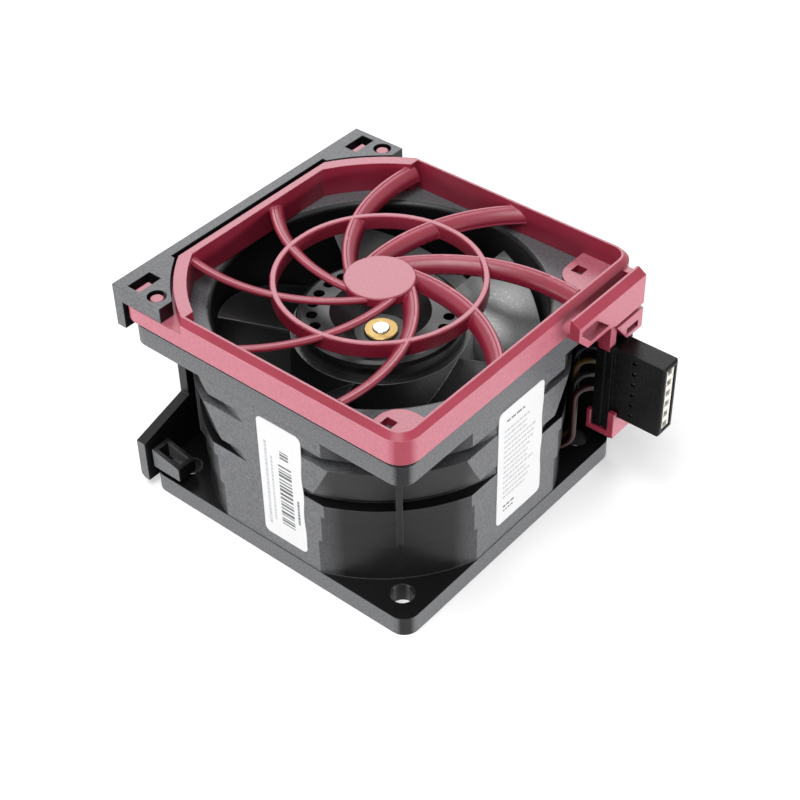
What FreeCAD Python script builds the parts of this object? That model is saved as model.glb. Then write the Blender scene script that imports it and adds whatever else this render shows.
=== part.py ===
import FreeCAD, Part
import math
import os

from FreeCAD import Vector

# Hot-swap fan module: a 60 x 60 x 38 mm axial fan with a clip-on inlet guard, a handle plate
# along one side and a blind-mate connector on the opposite side.
# Millimetres. The origin is on the fan axis at the outlet face, +Z points to the inlet guard.
# The handle plate is on the -X side, the connector on the +X side.

# Fan frame
fan_width = 60.0
fan_depth = 38.0
flange_thickness = 3.8
flange_corner_radius = 3.0
lower_band_steps = ((8.7, 0.6), (2.7, 0.3))  # distance below the lower groove, and inset
bore_diameter = 56.8
bell_mouth_radius = 1.2
barrel_diameter = 64.8
barrel_flat_inset = 0.15
mount_hole_pitch = 50.0
mount_hole_diameter = 4.3
groove_root_diameter = 60.4
groove_drops = ((17.8, 16.0), (9.1, 7.0))
band_taper_in = 0.8
band_taper_out = 0.56
corner_web_width = 1.1
corner_web_height = 0.5
corner_web_foot = 11.0
corner_web_ramp = 2.0
inlet_land_height = 1.6
inlet_land_inset = 0.3
corner_wall_thickness = 1.05
corner_wall_inset = 0.15
corner_wall_start = 14.2

# Outlet guide vanes and motor base
stator_vane_count = 8
stator_vane_chord = 8.6
stator_vane_lean = 32.0
stator_vane_thickness = 1.3
stator_vane_floor = 0.8
base_diameter = 31.0
base_floor = 1.8
base_wall = 1.4
base_height = 7.6
lead_channel_wall = 0.9
lead_channel_floor = 1.2
lead_channel_depth = 1.6
lead_notch_height = 2.6
board_post_diameter = 2.4
board_post_inset = 2.0
board_post_count = 3
board_post_phase = 75.0

# Inlet guard
guard_height = 7.4
guard_overhang = 1.1
guard_wall = 1.4
guard_corner_radius = 4.0
guard_bevel = 1.0
guard_plate_side = 29.0
guard_plate_side_wall = 1.4
guard_arc_radius = 34.4
guard_arc_wall = 2.2
guard_vane_count = 8
guard_vane_phase = -88.0
guard_vane_path_radius = 31.0
guard_vane_heading = 44.0
guard_vane_sweep = 62.0
guard_vane_chord = 3.5
guard_vane_tilt = 46.0
guard_vane_camber = 0.5
guard_vane_nose = 0.55
guard_vane_tail = 0.25
guard_vane_rise = 2.0
guard_vane_lead_in = 3.0
guard_vane_sink = 0.1
guard_vane_root = 1.0
guard_disc_diameter = 12.4
guard_disc_thickness = 1.7
guard_disc_drop = 1.7
guard_disc_edge = 0.3
guard_ring_edge = 0.25
guard_ring_diameter = 37.1
guard_ring_wall = 1.1
guard_ring_height = 2.7
guard_ring_drop = 1.4
lobe_radius = 4.2
lobe_thickness = 1.6
lobe_window = 2.1
lobe_window_x = 23.2
lobe_window_y = 25.35
snap_barb = 0.4
snap_barb_height = 0.9
deck_thickness = 1.6

# Handle plate
plate_thickness = 2.0
plate_half_length = 31.0
plate_pad_thickness = 2.9
plate_pad_end = 20.8
plate_skirt = 8.4
plate_waist_half = 19.3
plate_flare_top = 14.3
plate_flare_bottom = 10.4
plate_foot_lift = 1.7
plate_foot_round = 1.2
pad_slot_length = 5.0
pad_slot_width = 2.8
pad_slot_inset = 2.5
pad_slot_from_end = 1.2
pad_arc_radius = 34.9
pad_hole_diameter = 3.3
lug_length = 3.3
lug_width = 1.4
lug_height = 2.3
pad_pin_height = 2.5
pad_pin_diameter = 2.4
pad_pin_inset = 8.3
pad_pin_from_end = 2.3
foot_lug_x = (-29.3, -22.7)
foot_lug_y = (-30.0, -26.0)
foot_lug_low = 4.9
foot_lug_high = (9.0, 7.7)
foot_lug_wall = 0.8
foot_lug_neck = 0.9
foot_lug_rib_start = -26.0
foot_lug_rib_high = 7.3

# Connector and its bracket on the guard
connector_y = 22.5
connector_thickness = 4.2
connector_reach = 44.6
connector_drop = 5.0
connector_height = 14.8
connector_flange_length = 5.8
connector_flange_depth = 3.35
connector_flange_margin = 3.2
connector_flange_groove = (1.75, 2.45)
contact_count = 6
contact_pitch = 2.3
contact_thickness = 0.5
contact_width = 1.4
contact_setback = 3.0
insert_depth = 0.8
insert_setback = 0.25
insert_hole = 1.2
connector_wall = 0.8
lance_window = 0.8
lance_reach = 38.2
lance_sink = 0.5
lance_size = 0.4
lead_recess_depth = 1.5
lead_recess_half = 2.55
lead_recess_margin = 1.6
bracket_gap = 1.8
bracket_wall = 1.9
bracket_start = 8.8
bracket_end = 28.0
bracket_drop = 0.4
bracket_bevel = 1.0
bracket_lip = 0.4
bracket_end_wall = 1.5
hook_rise = 0.7
hook_chamfer = 2.7
hook_wall = 0.8
pocket_high_rise = 5.0
pocket_floor_rise = 1.5
pocket_shoulder = 13.7
pocket_end = 17.6
band_start = 19.8
band_drop = 0.8
band_line = 0.9
band_line_depth = 1.0
band_lower_start = 20.3
band_foot_start = 23.6
post_y = (19.65, 21.4)
post_x_end = 34.0
post_drop = 5.85
window_y = (23.3, 26.7)
window_drops = (4.1, 2.7)
end_wall_drop = 3.6
spine_thickness = 1.3
spine_start = 24.8
cradle_floor = 1.1
cradle_lip = 1.2
cradle_start = 19.3
cradle_prong = 0.7
cradle_prong_width = 0.9
cradle_prong_drop = 0.2
cradle_finger_rise = 1.1

# Rotor
blade_count = 5
blade_tip_clearance = 0.6
blade_lead_angle = 78.0
blade_wrap = 63.0
blade_inset_hub = 5.6
blade_inset_tip = 1.8
blade_drop_hub = 17.5
blade_drop_tip = 13.0
blade_thickness_hub = 1.9
blade_thickness_tip = 1.1
blade_camber = 0.25
blade_edge_share = 0.4
blade_stations = 7
hub_top_diameter = 31.4
hub_base_diameter = 33.2
hub_inset = 4.8
hub_wall = 1.1
hub_low = 9.4
yoke_wall = 0.9
yoke_inset = 1.4
yoke_shoulder = 1.0
yoke_dish_diameter = 17.6
yoke_dish_depth = 4.4
yoke_floor_diameter = 9.2
vent_count = 24
vent_inset = 2.8
vent_diameter = 2.0
magnet_wall = 1.3
magnet_length = 12.5
shaft_diameter = 3.0
shaft_proud = 0.3
bushing_diameter = 6.0
bushing_length = 2.4
bushing_proud = 0.5
bushing_collar_diameter = 7.4
yoke_low = 12.0
hub_ledge = 0.8

# Bearings, stator and electronics
bearing_outer_diameter = 8.0
bearing_width = 4.0
bearing_race_split = 5.4
running_clearance = 0.05
tube_wall = 1.0
tube_inset = 9.8
tube_ledge = 0.7
lower_bearing_lift = 2.6
tube_seat_wall = 0.8
tube_seat_height = 2.2
shaft_tail = 1.2
spring_wire = 0.35
spring_turns = 3
clip_diameter = 4.6
clip_thickness = 0.4
clip_groove_depth = 0.3
clip_mouth = 1.6
tooth_count = 9
stack_length = 10.0
stack_base = 14.0
air_gap = 0.45
tooth_neck = 2.0
tooth_tip = 1.2
tooth_gap = 1.2
yoke_ring_wall = 1.6
insulator_thickness = 0.5
coil_build = 0.65
coil_crown = 1.5
board_gap = 1.1
board_thickness = 1.0
board_lift = 3.4

# Items on the board: inset of the inner and outer end from the board's edge, half width,
# height (negative below) and azimuth
board_items = ((5.8, 1.8, 2.5, 1.2, 200), (2.4, 0.8, 1.4, 2.6, 120),
               (5.0, 3.0, 0.7, 0.9, 150), (5.0, 3.0, 0.7, 0.9, 250), (5.0, 3.0, 0.7, 0.9, 280),
               (4.4, 2.8, 0.5, -0.6, 340), (4.4, 2.8, 0.5, -0.6, 0), (4.4, 2.8, 0.5, -0.6, 20))

# Leads
lead_diameter = 1.1
lead_pitch = 1.15
lead_azimuth = 37.0
lead_gather = 0.6
lead_rise_radius = 33.9
lead_bend = 3.3
lead_start_inset = 2.4
label_thickness = 0.12
front_label_x = (-1.4, 8.3)
front_label_low = 6.5
front_label_drop = 5.3
right_label_y = (-5.8, 6.6)
right_label_low = 7.5
right_label_drop = 5.0

# Named clearances, and how far fused features run into each other
fit = 0.15
loose = 0.4
weld = 0.4

# Derived places
half = fan_width / 2
inlet_flange_low = fan_depth - flange_thickness
groove_heights = [(fan_depth - low, fan_depth - high) for low, high in groove_drops]
connector_high = fan_depth - connector_drop
connector_low = connector_high - connector_height
hook_low = fan_depth + hook_rise
pocket_high = fan_depth + pocket_high_rise
pocket_floor = fan_depth + pocket_floor_rise
band_top = fan_depth - band_drop
post_low = fan_depth - post_drop
window_z = [fan_depth - drop for drop in window_drops]
end_wall_low = fan_depth - end_wall_drop
cradle_prong_high = connector_low - cradle_prong_drop
cradle_finger_high = connector_low + cradle_finger_rise
front_label_z = (front_label_low, fan_depth - front_label_drop)
right_label_z = (right_label_low, fan_depth - right_label_drop)
blade_top_hub = fan_depth - blade_inset_hub
blade_top_tip = fan_depth - blade_inset_tip
hub_top = fan_depth - hub_inset
yoke_face = fan_depth - yoke_inset
yoke_diameter = hub_top_diameter - 2 * hub_wall
vent_circle_diameter = yoke_diameter - 2 * vent_inset
tube_top = fan_depth - tube_inset
bore_radius = bore_diameter / 2
barrel_radius = barrel_diameter / 2
barrel_flat = half - barrel_flat_inset
hole_offset = mount_hole_pitch / 2
guard_half = half + guard_overhang
guard_top = fan_depth + guard_height
guard_inner = guard_half - guard_wall
guard_plate_inner = guard_plate_side - guard_plate_side_wall
guard_arc_inner = guard_arc_radius - guard_arc_wall
disc_top = guard_top - guard_disc_drop
disc_radius = guard_disc_diameter / 2
ring_top = guard_top - guard_ring_drop
land_top = fan_depth + inlet_land_height
lobe_top = land_top + lobe_thickness
deck_top = guard_top - plate_pad_thickness
leg_diameter = mount_hole_diameter - 2 * fit
plate_inner_x = -half
plate_outer_x = plate_inner_x - plate_thickness
pad_slot_x = plate_outer_x + pad_slot_inset
pad_slot_y = plate_half_length - pad_slot_from_end - pad_slot_length
pad_pin_x = plate_outer_x + pad_pin_inset
pad_pin_y = plate_half_length - pad_pin_from_end
base_radius = base_diameter / 2
base_top = stator_vane_floor + base_floor
base_inner = base_radius - base_wall
board_radius = base_inner - board_gap
board_post_radius = board_radius - board_post_inset
lead_start_radius = board_radius - lead_start_inset
tip_radius = bore_radius - blade_tip_clearance
shaft_radius = shaft_diameter / 2
bearing_radius = bearing_outer_diameter / 2
race_radius = bearing_race_split / 2
tube_radius = bearing_radius + tube_wall
lower_bearing_low = base_top + lower_bearing_lift
upper_bearing_low = tube_top - bearing_width
yoke_radius = yoke_diameter / 2
yoke_inner = yoke_radius - yoke_wall
dish_face = yoke_face - yoke_dish_depth
bushing_top = dish_face + bushing_proud
bushing_low = bushing_top - bushing_length
shaft_top = bushing_top + shaft_proud
magnet_inner = yoke_inner - magnet_wall
stack_radius = magnet_inner - air_gap
stack_top = stack_base + stack_length
board_low = base_top + board_lift
board_top = board_low + board_thickness
lead_level = board_top + lead_diameter / 2
lead_count = 4
channel_inner = (lead_count - 1) * lead_pitch + lead_diameter + 2 * loose
channel_outer = channel_inner + 2 * lead_channel_wall
bracket_inner_x = guard_half + bracket_gap
bracket_outer_x = bracket_inner_x + bracket_wall
bracket_top = guard_top - bracket_drop
band_low = connector_high + fit
spine_x = half + fit
connector_back = spine_x + spine_thickness
connector_face = connector_back + connector_flange_depth
connector_middle = (connector_low + connector_high) / 2
flange_low = connector_low - connector_flange_margin
cradle_low = flange_low - cradle_floor
flange_y = (connector_y - connector_flange_length / 2, connector_y + connector_flange_length / 2)
body_y = (connector_y - connector_thickness / 2, connector_y + connector_thickness / 2)
lead_direction = math.radians(lead_azimuth)


def ring(outer, inner, low, high):
    tube = Part.makeCylinder(outer, high - low, Vector(0, 0, low))
    if inner <= 0:
        return tube
    hole = Part.makeCylinder(inner, high - low + 2, Vector(0, 0, low - 1))
    return tube.cut(hole)


def block(x, y, z):
    return Part.makeBox(x[1] - x[0], y[1] - y[0], z[1] - z[0], Vector(x[0], y[0], z[0]))


def post(diameter, x, y, low, high):
    return Part.makeCylinder(diameter / 2, high - low, Vector(x, y, low))


def turned(points):
    """Solid of revolution about Z from (radius, height) points."""
    corners = [Vector(r, 0, z) for r, z in points]
    wire = Part.makePolygon(corners + corners[:1])
    return Part.Face(wire).revolve(Vector(0, 0, 0), Vector(0, 0, 1), 360)


def prism(points, direction):
    """Solid from a closed outline of 3-D points pushed along a direction."""
    wire = Part.makePolygon(list(points) + [points[0]])
    return Part.Face(wire).extrude(direction)


def rounded_square(half_side, radius, low, high):
    box = block((-half_side, half_side), (-half_side, half_side), (low, high))
    return box.makeFillet(radius, vertical_edges(box))


def vertical_edges(shape):
    return [e for e in shape.Edges if is_vertical(e)]


def is_vertical(edge):
    if edge.Curve.TypeId != "Part::GeomLine":
        return False
    return abs(edge.tangentAt(edge.FirstParameter).z) > 0.999


def edges_at_height(shape, z, tolerance=0.001):
    return [e for e in shape.Edges
            if abs(e.BoundBox.ZMin - z) < tolerance and abs(e.BoundBox.ZMax - z) < tolerance]


def turned_copy(shape, angle):
    copy = shape.copy()
    copy.rotate(Vector(0, 0, 0), Vector(0, 0, 1), angle)
    return copy


def around(shape, count, start=0.0):
    return [turned_copy(shape, start + 360.0 * i / count) for i in range(count)]


def corners(offset):
    return [(sx * offset, sy * offset) for sx in (-1, 1) for sy in (-1, 1)]


def mirrored_y(shape):
    return shape.mirror(Vector(0, 0, 0), Vector(0, 1, 0))


def merged(shapes):
    whole = shapes[0]
    if len(shapes) > 1:
        whole = shapes[0].fuse(shapes[1:])
    return whole.removeSplitter()


def arc(a, b, c):
    return Part.Arc(Vector(*a), Vector(*b), Vector(*c)).toShape()


def helper_line(a, b):
    return Part.LineSegment(Vector(*a), Vector(*b)).toShape()


# Fan frame: barrel, two flanges, outlet guide vanes and the motor base in one moulding

def barrel():
    (low_a, high_a), (low_b, high_b) = groove_heights
    (below_a, inset_a), (below_b, inset_b) = lower_band_steps
    step_a, step_b = low_a - below_a, low_a - below_b
    root = groove_root_diameter / 2
    taper_top = barrel_radius + band_taper_out
    taper_low = barrel_radius - band_taper_in
    outline = [(bore_radius, 0), (barrel_radius - inset_a, 0), (barrel_radius - inset_a, step_a),
               (barrel_radius - inset_b, step_a), (barrel_radius - inset_b, step_b),
               (barrel_radius, step_b), (barrel_radius, low_a), (root, low_a), (root, high_a),
               (taper_low, high_a), (taper_top, low_b), (root, low_b), (root, high_b),
               (barrel_radius, high_b), (barrel_radius, fan_depth), (bore_radius, fan_depth)]
    flats = (-barrel_flat, barrel_flat)
    return turned(outline).common(block(flats, flats, (0, fan_depth)))


def corner_web():
    width = corner_web_width / 2
    reach = barrel_radius + corner_web_height
    foot = corner_web_foot
    points = [Vector(bore_radius + 1, -width, foot), Vector(barrel_radius - weld, -width, foot),
              Vector(reach, -width, foot + corner_web_ramp), Vector(reach, -width, inlet_flange_low),
              Vector(bore_radius + 1, -width, inlet_flange_low)]
    return prism(points, Vector(0, corner_web_width, 0))


def inlet_land():
    return rounded_square(half - inlet_land_inset, flange_corner_radius, fan_depth, land_top)


def corner_wall():
    """Wall that closes the corner pocket behind the leads on its +Y side."""
    outer = half - corner_wall_inset
    return block((corner_wall_start, outer), (outer - corner_wall_thickness, outer),
                 (flange_thickness, inlet_flange_low))


def bell_mouth():
    rim = bore_radius + bell_mouth_radius
    drop = land_top - bell_mouth_radius
    centre = (rim, 0, drop)
    lean = bell_mouth_radius * math.sqrt(0.5)
    edges = [helper_line((0, 0, drop), (bore_radius, 0, drop)),
             arc((bore_radius, 0, drop), (centre[0] - lean, 0, drop + lean), (rim, 0, land_top)),
             helper_line((rim, 0, land_top), (rim, 0, land_top + 1)),
             helper_line((rim, 0, land_top + 1), (0, 0, land_top + 1)),
             helper_line((0, 0, land_top + 1), (0, 0, drop))]
    return Part.Face(Part.Wire(edges)).revolve(Vector(0, 0, 0), Vector(0, 0, 1), 360)


def stator_vane():
    """Cambered outlet vane: axial where the air leaves, leaning where it meets the swirl."""
    lean = math.radians(stator_vane_lean)
    rise = stator_vane_chord * math.cos(lean)
    shift = stator_vane_chord * math.sin(lean)
    t = stator_vane_thickness / 2
    inner = base_inner + weld
    low = stator_vane_floor
    left = [(inner, -t, low), (inner, -t + shift * 0.3, low + rise * 0.52),
            (inner, -t * 0.6 + shift, low + rise)]
    right = [(inner, t, low), (inner, t + shift * 0.3, low + rise * 0.48),
             (inner, t * 0.6 + shift, low + rise)]
    edges = [arc(*left), helper_line(left[2], right[2]), arc(*reversed(right)),
             helper_line(right[0], left[0])]
    face = Part.Face(Part.Wire(edges))
    return face.extrude(Vector(bore_radius + weld - inner, 0, 0))


def motor_base():
    cup = ring(base_radius, 0, stator_vane_floor, stator_vane_floor + base_height)
    cup = cup.cut(ring(base_inner, 0, base_top, base_top + base_height))
    seat = ring(tube_radius + tube_seat_wall, tube_radius, base_top, base_top + tube_seat_height)
    boss = post(board_post_diameter, board_post_radius, 0, base_top, board_low)
    return merged([cup, seat] + around(boss, board_post_count, board_post_phase))


def lead_channel():
    top = board_top + lead_channel_depth
    outer = block((base_inner + weld, bore_radius + weld), (-channel_outer / 2, channel_outer / 2),
                  (stator_vane_floor, top))
    floor = board_top - lead_channel_floor
    under = block((base_radius, bore_radius), (-channel_inner / 2, channel_inner / 2),
                  (0, floor))
    return turned_copy(outer.cut(under), lead_azimuth)


def lead_opening():
    inside = block((base_inner - 1, bore_radius + 1), (-channel_inner / 2, channel_inner / 2),
                   (board_top, board_top + base_height))
    wall = block((bore_radius, barrel_radius + 2), (-channel_inner / 2, channel_inner / 2),
                 (board_top, board_top + lead_notch_height))
    return turned_copy(inside.fuse(wall), lead_azimuth)


def fan_frame():
    plates = [rounded_square(half, flange_corner_radius, 0, flange_thickness),
              rounded_square(half, flange_corner_radius, inlet_flange_low, fan_depth)]
    shell = merged(plates + [barrel(), inlet_land(), corner_wall()] + around(corner_web(), 4, 45))
    shell = shell.cut(ring(bore_radius, 0, -1, fan_depth + 1))
    step = 360.0 / stator_vane_count
    vanes = [turned_copy(stator_vane(), lead_azimuth + step * i)
             for i in range(1, stator_vane_count)]
    shell = merged([shell, lead_channel(), motor_base()] + vanes)
    holes = [post(mount_hole_diameter, x, y, -1, land_top + 1) for x, y in corners(hole_offset)]
    return shell.cut([bell_mouth(), lead_opening()] + holes).removeSplitter()


# Inlet guard: rim, swept vanes, disc and ring, corner lobes, deck and connector bracket

def guard_opening(low, high, grow=0.0):
    side = guard_inner + grow
    whole = block((-guard_plate_inner - grow, side), (-side, side), (low, high))
    whole = whole.makeFillet(guard_corner_radius - guard_wall, vertical_edges(whole))
    beyond = block((-half, -guard_arc_inner / 2), (-half, half), (low, high))
    beyond = beyond.cut(ring(guard_arc_inner + grow, 0, low, high))
    return whole.cut(beyond)


def guard_rim():
    rim = rounded_square(guard_half, guard_corner_radius, land_top, guard_top)
    rim = rim.makeChamfer(guard_bevel, edges_at_height(rim, guard_top))
    far = guard_half + 1
    rim = rim.cut(block((-far, -guard_plate_side), (-far, far), (land_top - 1, guard_top + 1)))
    pads = block((-far, -guard_arc_inner / 2), (-far, far), (deck_top, guard_top + 1))
    pads = pads.cut(ring(guard_arc_radius, 0, deck_top - 1, guard_top + 2))
    under = block((-guard_plate_inner, -guard_arc_inner / 2), (-guard_inner, guard_inner),
                  (land_top - 1, deck_top - deck_thickness))
    under = under.cut(ring(guard_arc_radius, 0, land_top - 2, guard_top))
    return rim.cut([pads, under, guard_opening(land_top - 1, guard_top + 1)])


def vane_section():
    """Teardrop section of a guard vane, thick rounded nose up, in the X-Z plane at the path."""
    tilt = math.radians(guard_vane_tilt)
    along = Vector(math.sin(tilt), 0, math.cos(tilt))
    across = Vector(-math.cos(tilt), 0, math.sin(tilt))
    centre = Vector(guard_vane_path_radius, 0, 0)
    nose = centre + along * (guard_vane_chord / 2 - guard_vane_nose)
    tail = centre - along * (guard_vane_chord / 2 - guard_vane_tail)
    belly = (guard_vane_nose + guard_vane_tail) / 2
    upper = Part.Arc(tail + across * guard_vane_tail,
                     centre + across * (guard_vane_camber + belly),
                     nose + across * guard_vane_nose)
    front = Part.Arc(nose + across * guard_vane_nose, nose + along * guard_vane_nose,
                     nose - across * guard_vane_nose)
    lower = Part.Arc(nose - across * guard_vane_nose,
                     centre + across * (guard_vane_camber - belly),
                     tail - across * guard_vane_tail)
    back = Part.Arc(tail - across * guard_vane_tail, tail - along * guard_vane_tail,
                    tail + across * guard_vane_tail)
    return Part.Face(Part.Wire([c.toShape() for c in (upper, front, lower, back)]))


def guard_vane():
    """One swept vane: the section turned about the centre of its circular path."""
    start = math.radians(guard_vane_phase)
    heading = guard_vane_phase - guard_vane_heading
    to_centre = math.radians(heading - 90)
    centre = Vector(disc_radius * math.cos(start), disc_radius * math.sin(start), 0)
    centre += Vector(math.cos(to_centre), math.sin(to_centre), 0) * guard_vane_path_radius
    vane = vane_section().revolve(Vector(0, 0, 0), Vector(0, 0, 1), -guard_vane_sweep)
    vane.rotate(Vector(0, 0, 0), Vector(0, 0, 1), heading + 90 + guard_vane_lead_in)
    tip = guard_vane_chord / 2 * math.cos(math.radians(guard_vane_tilt)) + guard_vane_nose / 2
    vane.translate(centre + Vector(0, 0, disc_top - tip - guard_vane_sink))
    chord = math.radians(heading - guard_vane_sweep / 2)
    hinge = Vector(math.sin(chord), -math.cos(chord), 0)
    vane.rotate(Vector(0, 0, disc_top), hinge, guard_vane_rise)
    return vane


def guard_vanes():
    reach = guard_opening(fan_depth, guard_top, guard_vane_root)
    vanes = [v.common(reach) for v in around(guard_vane(), guard_vane_count)]
    disc = ring(disc_radius, 0, disc_top - guard_disc_thickness, disc_top)
    disc = disc.makeFillet(guard_disc_edge, edges_at_height(disc, disc_top))
    hoop_outer = guard_ring_diameter / 2
    hoop = ring(hoop_outer, hoop_outer - guard_ring_wall, ring_top - guard_ring_height, ring_top)
    hoop = hoop.makeFillet(guard_ring_edge, edges_at_height(hoop, ring_top))
    return [disc, hoop] + vanes


def snap_leg(x, y, top):
    radius = leg_diameter / 2
    barb_top = inlet_flange_low - fit
    barb_low = barb_top - snap_barb_height
    outline = [(0, barb_low), (radius - fit, barb_low), (radius + snap_barb, barb_top - fit),
               (radius + snap_barb, barb_top), (radius, barb_top), (radius, top), (0, top)]
    leg = turned(outline)
    leg.translate(Vector(x, y, 0))
    return leg


def corner_lobes():
    near = hole_offset - lobe_radius
    far = guard_inner + fit
    pieces = []
    for side in (-1, 1):
        y = side * hole_offset
        edge = sorted((y, side * far))
        reach = sorted((side * near, side * far))
        pieces.append(post(2 * lobe_radius, hole_offset, y, land_top, lobe_top))
        pieces.append(block((near, far), edge, (land_top, lobe_top)))
        pieces.append(block((hole_offset, far), reach, (land_top, lobe_top)))
        pieces.append(snap_leg(hole_offset, y, lobe_top))
        pieces.append(snap_leg(-hole_offset, y, deck_top - deck_thickness / 2))
    return pieces


def lobe_windows():
    w = lobe_window / 2
    x = (lobe_window_x - w, lobe_window_x + w)
    spans = [(side * lobe_window_y - w, side * lobe_window_y + w) for side in (-1, 1)]
    return [block(x, span, (0, guard_top)) for span in spans]


def pad_pins():
    pieces = []
    for y in (-pad_pin_y, pad_pin_y):
        pin = post(pad_pin_diameter, pad_pin_x, y, deck_top - 1, deck_top + pad_pin_height)
        pieces.append(pin.makeChamfer(fit, edges_at_height(pin, deck_top + pad_pin_height)))
    lug_x = (pad_slot_x + pad_slot_width - fit - lug_width, pad_slot_x + pad_slot_width - fit)
    for y in (-pad_slot_y - pad_slot_length + fit, pad_slot_y + fit):
        lug = block(lug_x, (y, y + lug_length), (deck_top - 1, deck_top + lug_height))
        pieces.append(lug)
    return pieces


def along_y(outline, y):
    """Solid from an outline of (x, z) points pushed along Y."""
    points = [Vector(px, y[0], pz) for px, pz in outline]
    return prism(points, Vector(0, y[1] - y[0], 0))


def along_x(outline, x):
    """Solid from an outline of (y, z) points pushed along X."""
    points = [Vector(x[0], py, pz) for py, pz in outline]
    return prism(points, Vector(x[1] - x[0], 0, 0))


def bracket_hook():
    """Upper slab beside the rim, with the open pocket and its thin hooked end."""
    low = band_top + band_line
    slab = along_y([(bracket_inner_x, low), (bracket_outer_x, low),
                    (bracket_outer_x, bracket_top - bracket_bevel),
                    (bracket_inner_x + bracket_lip, bracket_top), (bracket_inner_x, bracket_top)],
                   (bracket_start, bracket_end))
    y = bracket_start
    below = along_x([(y - 1, low - 1), (band_start, low - 1), (band_start, low),
                     (pocket_end, hook_low), (y + hook_chamfer, hook_low),
                     (y, hook_low + hook_chamfer), (y - 1, hook_low + hook_chamfer)],
                    (half, bracket_outer_x + 1))
    inner = y + hook_wall
    pocket = along_x([(inner, pocket_high), (pocket_shoulder, pocket_high),
                      (pocket_end, pocket_floor), (inner + hook_chamfer, pocket_floor),
                      (inner, pocket_floor + hook_chamfer)],
                     (guard_half, bracket_outer_x + 1))
    floor = block((guard_half - guard_wall / 2, bracket_outer_x), (y, pocket_end),
                  (hook_low, pocket_floor))
    leg = block((bracket_inner_x, bracket_outer_x), (y, inner),
                (hook_low, bracket_top - bracket_bevel))
    return slab.fuse([floor, leg]).cut([below, pocket])


def bracket_band():
    """Lower band under the line groove, with its window, post and end wall."""
    outline = [(band_lower_start, band_top), (bracket_end, band_top), (bracket_end, band_low),
               (band_foot_start, band_low)]
    band = along_x(outline, (bracket_inner_x, bracket_outer_x))
    window = block((half, bracket_outer_x + 1), window_y, window_z)
    back = block((bracket_inner_x, bracket_outer_x - band_line_depth), (band_start, bracket_end),
                 (band_top, band_top + band_line))
    upper = block((guard_half - guard_wall / 2, post_x_end), post_y, (band_low, pocket_floor))
    tongue = block((connector_back + fit, post_x_end), post_y, (post_low, band_low))
    end = block((guard_half - guard_wall / 2, bracket_inner_x),
                (bracket_end - bracket_end_wall, bracket_end),
                (end_wall_low, bracket_top - bracket_bevel))
    return [band.cut(window), back, upper, tongue, end]


def connector_bracket():
    apron = block((spine_x, guard_half), (bracket_start + hook_chamfer, bracket_end),
                  (hook_low, land_top + weld))
    spine = block((spine_x, connector_back), (spine_start, bracket_end), (cradle_low, land_top + weld))
    return [bracket_hook(), apron, spine] + bracket_band() + cradle()


def cradle():
    """U-shaped hook under the connector flange, open towards -Y."""
    front = connector_face + fit
    floor = block((connector_back - cradle_prong - fit, front + cradle_lip),
                  (cradle_start, bracket_end), (cradle_low, flange_low - fit))
    lip = block((front, front + cradle_lip), (cradle_start, flange_y[1]),
                (cradle_low, connector_low - fit))
    finger = block((front, front + cradle_lip), (cradle_start, cradle_start + cradle_prong_width),
                   (cradle_low, cradle_finger_high))
    prong = block((connector_back - cradle_prong - fit, connector_back - fit),
                  (cradle_start, cradle_start + cradle_prong_width),
                  (cradle_low, cradle_prong_high))
    return [floor, lip, finger, prong]


def is_along_x(edge):
    if edge.Curve.TypeId != "Part::GeomLine":
        return False
    return abs(edge.tangentAt(edge.FirstParameter).x) > 0.999


def inlet_guard():
    rim = merged([guard_rim()] + guard_vanes())
    whole = merged([rim] + corner_lobes() + pad_pins() + connector_bracket())
    return whole.cut(lobe_windows()).removeSplitter()


# Handle plate

def handle_plate():
    top = guard_top
    side = plate_half_length
    low = plate_foot_lift
    wall = [(-side, top), (-side, top - plate_skirt), (-plate_waist_half, top - plate_skirt),
            (-plate_waist_half, plate_flare_top), (-side, plate_flare_bottom), (-side, low),
            (side, low), (side, plate_flare_bottom), (plate_waist_half, plate_flare_top),
            (plate_waist_half, top - plate_skirt), (side, top - plate_skirt), (side, top)]
    points = [Vector(plate_outer_x, y, z) for y, z in wall]
    plate = prism(points, Vector(plate_thickness, 0, 0))
    foot = [e for e in edges_at_x(plate, plate_outer_x) if abs(e.BoundBox.ZMax - low) < 0.01]
    plate = plate.makeFillet(plate_foot_round, foot)
    pads = block((plate_outer_x, -plate_pad_end), (-side, side), (deck_top, top))
    pads = pads.cut(ring(pad_arc_radius, 0, deck_top - 1, top + 1))
    middle = block((-half, -plate_pad_end), (-plate_waist_half, plate_waist_half),
                   (deck_top - 1, top + 1))
    plate = merged([plate, pads.cut(middle)] + foot_lugs())
    holes = []
    for y in (-pad_slot_y - pad_slot_length, pad_slot_y):
        holes.append(block((pad_slot_x, pad_slot_x + pad_slot_width), (y, y + pad_slot_length),
                           (deck_top - 1, top + 1)))
    for y in (-pad_pin_y, pad_pin_y):
        holes.append(post(pad_hole_diameter, pad_pin_x, y, deck_top - 1, top + 1))
    return plate.cut(holes)


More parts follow.
